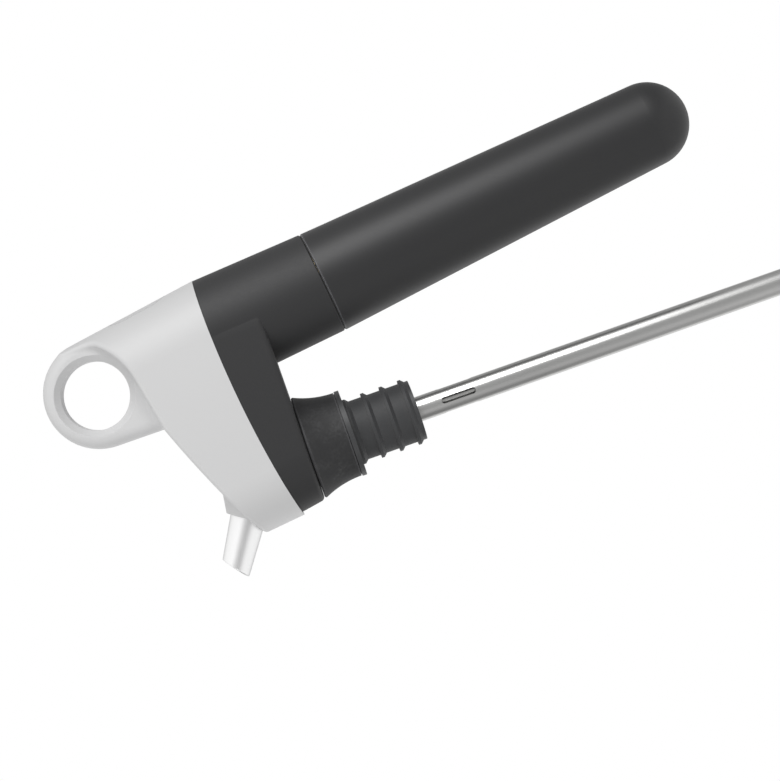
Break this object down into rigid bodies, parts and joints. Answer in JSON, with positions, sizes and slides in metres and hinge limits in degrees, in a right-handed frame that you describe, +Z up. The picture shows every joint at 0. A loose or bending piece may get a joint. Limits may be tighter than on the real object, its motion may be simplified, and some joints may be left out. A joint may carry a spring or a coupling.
{
  "type": "wine preservation dispenser",
  "caption": "Hand-held wine pourer that sits on a stopper in a bottle's neck, with a gas capsule in its handle, a push button, a spout and a hanging ring.",
  "frame": {"origin": "centre of the stopper's seat, level with the lip of the bottle", "axes": "+Z up along the stem, +X towards the handle, -X towards the spout"},
  "size_m": [0.0935, 0.031, 0.2673],
  "materials": {
    "light_shell": "satin moulded plastic, light grey",
    "dark_shell": "matt moulded plastic, near black",
    "soft_grip": "matt soft-touch plastic, near black",
    "button_plastic": "satin moulded plastic, light grey",
    "spout_steel": "polished steel tube",
    "stem_steel": "fine brushed steel",
    "capsule_steel": "drawn steel",
    "hard_steel": "turned steel",
    "spring_steel": "spring wire",
    "brass_fittings": "turned brass",
    "frame_plastic": "moulded plastic",
    "silicone": "soft silicone",
    "seal_rubber": "black rubber"
  },
  "bodies": {
    "stopper": {"stopper_base": "frame_plastic", "neck_seal": "silicone", "turning_ring": "seal_rubber", "stem_wiper": "silicone"},
    "swivel_cap": {"stopper_cap": "dark_shell"},
    "head": {"base_housing": "dark_shell", "front_cover": "light_shell", "seat_pad": "silicone", "housing_screws": "hard_steel", "spout": "spout_steel", "spout_seal": "seal_rubber", "valve_block": "frame_plastic", "pin_seals": "seal_rubber", "seal_washers": "hard_steel", "valve_springs": "spring_steel", "lever_pin": "hard_steel", "button_guide": "frame_plastic", "button_spring": "spring_steel", "gas_hose": "seal_rubber", "stem": "stem_steel", "gas_tube": "stem_steel", "stem_tip": "stem_steel", "stem_seal": "seal_rubber", "regulator_body": "brass_fittings", "regulator_lid": "brass_fittings", "regulator_piston": "brass_fittings", "piston_seal": "seal_rubber", "regulator_spring": "spring_steel", "piercing_pin": "hard_steel", "capsule_gasket": "seal_rubber"},
    "button": {"pour_button": "button_plastic"},
    "lever": {"valve_lever": "frame_plastic"},
    "gas_pin": {"gas_valve_pin": "hard_steel"},
    "wine_pin": {"wine_valve_pin": "hard_steel"},
    "capsule": {"gas_capsule": "capsule_steel"},
    "cup": {"capsule_cup": "soft_grip", "cup_thread_ring": "brass_fittings", "cup_pad": "seal_rubber"}
  },
  "joints": [
    {"name": "cap_swivel", "type": "hinge", "parent": "stopper", "child": "swivel_cap", "pos_m": [0, 0, 0.005], "axis": [0, 0, 1], "continuous": true},
    {"name": "device_lift", "type": "slide", "parent": "swivel_cap", "child": "head", "axis": [0, 0, 1], "range_m": [0, 0.205]},
    {"name": "button_press", "type": "slide", "parent": "head", "child": "button", "axis": [-0.9878, 0, -0.1556], "range_m": [0, 0.003], "stiffness_N_per_m": 1500, "springref_m": -0.001, "deforming": ["button_spring", "valve_springs"]},
    {"name": "lever_swing", "type": "hinge", "parent": "head", "child": "lever", "pos_m": [0.038, 0, 0.0245], "axis": [0, -1, 0], "range_deg": [0, 9.2]},
    {"name": "gas_pin_slide", "type": "slide", "parent": "head", "child": "gas_pin", "axis": [-1, 0, 0], "range_m": [0, 0.0017]},
    {"name": "wine_pin_slide", "type": "slide", "parent": "head", "child": "wine_pin", "axis": [-1, 0, 0], "range_m": [0, 0.0017]},
    {"name": "capsule_feed", "type": "slide", "parent": "head", "child": "capsule", "axis": [0.1158, 0, -0.9933], "range_m": [0, 0.006]},
    {"name": "cup_turn", "type": "hinge", "parent": "capsule", "child": "cup", "pos_m": [0.04195, 0, -0.0058], "axis": [0.1158, 0, -0.9933], "range_deg": [0, 1440]}
  ],
  "couplings": [
    {"joint": "lever_swing", "follows": "button_press", "rad_per_m": 53},
    {"joint": "gas_pin_slide", "follows": "button_press", "ratio": 0.56},
    {"joint": "wine_pin_slide", "follows": "button_press", "ratio": 0.56},
    {"joint": "cup_turn", "follows": "capsule_feed", "rad_per_m": 4188.8}
  ]
}
